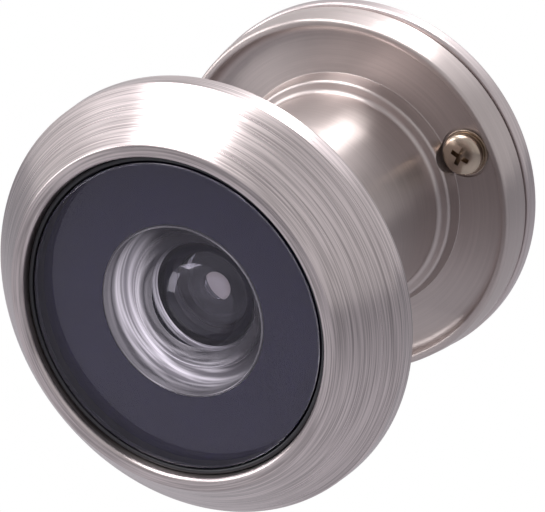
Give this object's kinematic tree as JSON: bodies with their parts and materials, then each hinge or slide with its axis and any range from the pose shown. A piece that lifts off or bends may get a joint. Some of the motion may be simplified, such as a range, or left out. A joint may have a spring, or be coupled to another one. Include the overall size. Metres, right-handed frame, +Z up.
{
  "type": "door viewer",
  "caption": "Wide-angle door viewer in satin nickel: bevelled outdoor bezel with a flat black-masked glass, threaded sleeve, dished indoor flange and a swinging privacy cover.",
  "frame": {"origin": "on the barrel's axis, in the plane of the outdoor bezel's seat on the door", "axes": "+Y along the barrel from outdoors to indoors, +Z up, +X to the right seen from outdoors"},
  "size_m": [0.052, 0.0517, 0.052],
  "materials": {
    "satin_nickel": "brushed satin nickel plate",
    "plated_barrel": "nickel-plated brass, machined",
    "screw_metal": "lightly brassy plated steel",
    "spring_steel": "spring steel",
    "clear_glass": "polished",
    "black_rubber": "matte",
    "black_mask": "matte black",
    "black_anodised": "black anodised",
    "pale_felt": "felt"
  },
  "bodies": {
    "exterior": {"outer_bezel": "satin_nickel", "lens_seal": "black_rubber", "front_lens": "clear_glass", "mask_ring": "black_mask", "front_barrel": "plated_barrel", "front_spacer": "black_anodised", "second_lens": "clear_glass", "middle_spacer": "black_anodised", "aperture_stop": "black_anodised", "rear_spacer": "black_anodised", "third_lens": "clear_glass", "objective_ring": "black_anodised"},
    "eyepiece": {"eyepiece_lens": "clear_glass"},
    "interior": {"inner_flange": "satin_nickel", "eyepiece_ring": "black_anodised"},
    "cover": {"pivot_screw": "screw_metal", "pivot_washer": "screw_metal", "spring_washer": "spring_steel", "privacy_cover": "satin_nickel", "cover_lining": "pale_felt"}
  },
  "joints": [
    {"name": "thread_travel", "type": "slide", "parent": "exterior", "child": "eyepiece", "axis": [0, 1, 0], "range_m": [0, 0.02]},
    {"name": "thread_turn", "type": "hinge", "parent": "eyepiece", "child": "interior", "pos_m": [0, 0, 0], "axis": [0, 1, 0], "range_deg": [0, 7200]},
    {"name": "cover_swing", "type": "hinge", "parent": "interior", "child": "cover", "pos_m": [0.01641, 0.0398, 0.00811], "axis": [0, 1, 0], "continuous": true}
  ],
  "couplings": [
    {"joint": "thread_travel", "follows": "thread_turn", "m_per_rad": 0.00015915}
  ]
}
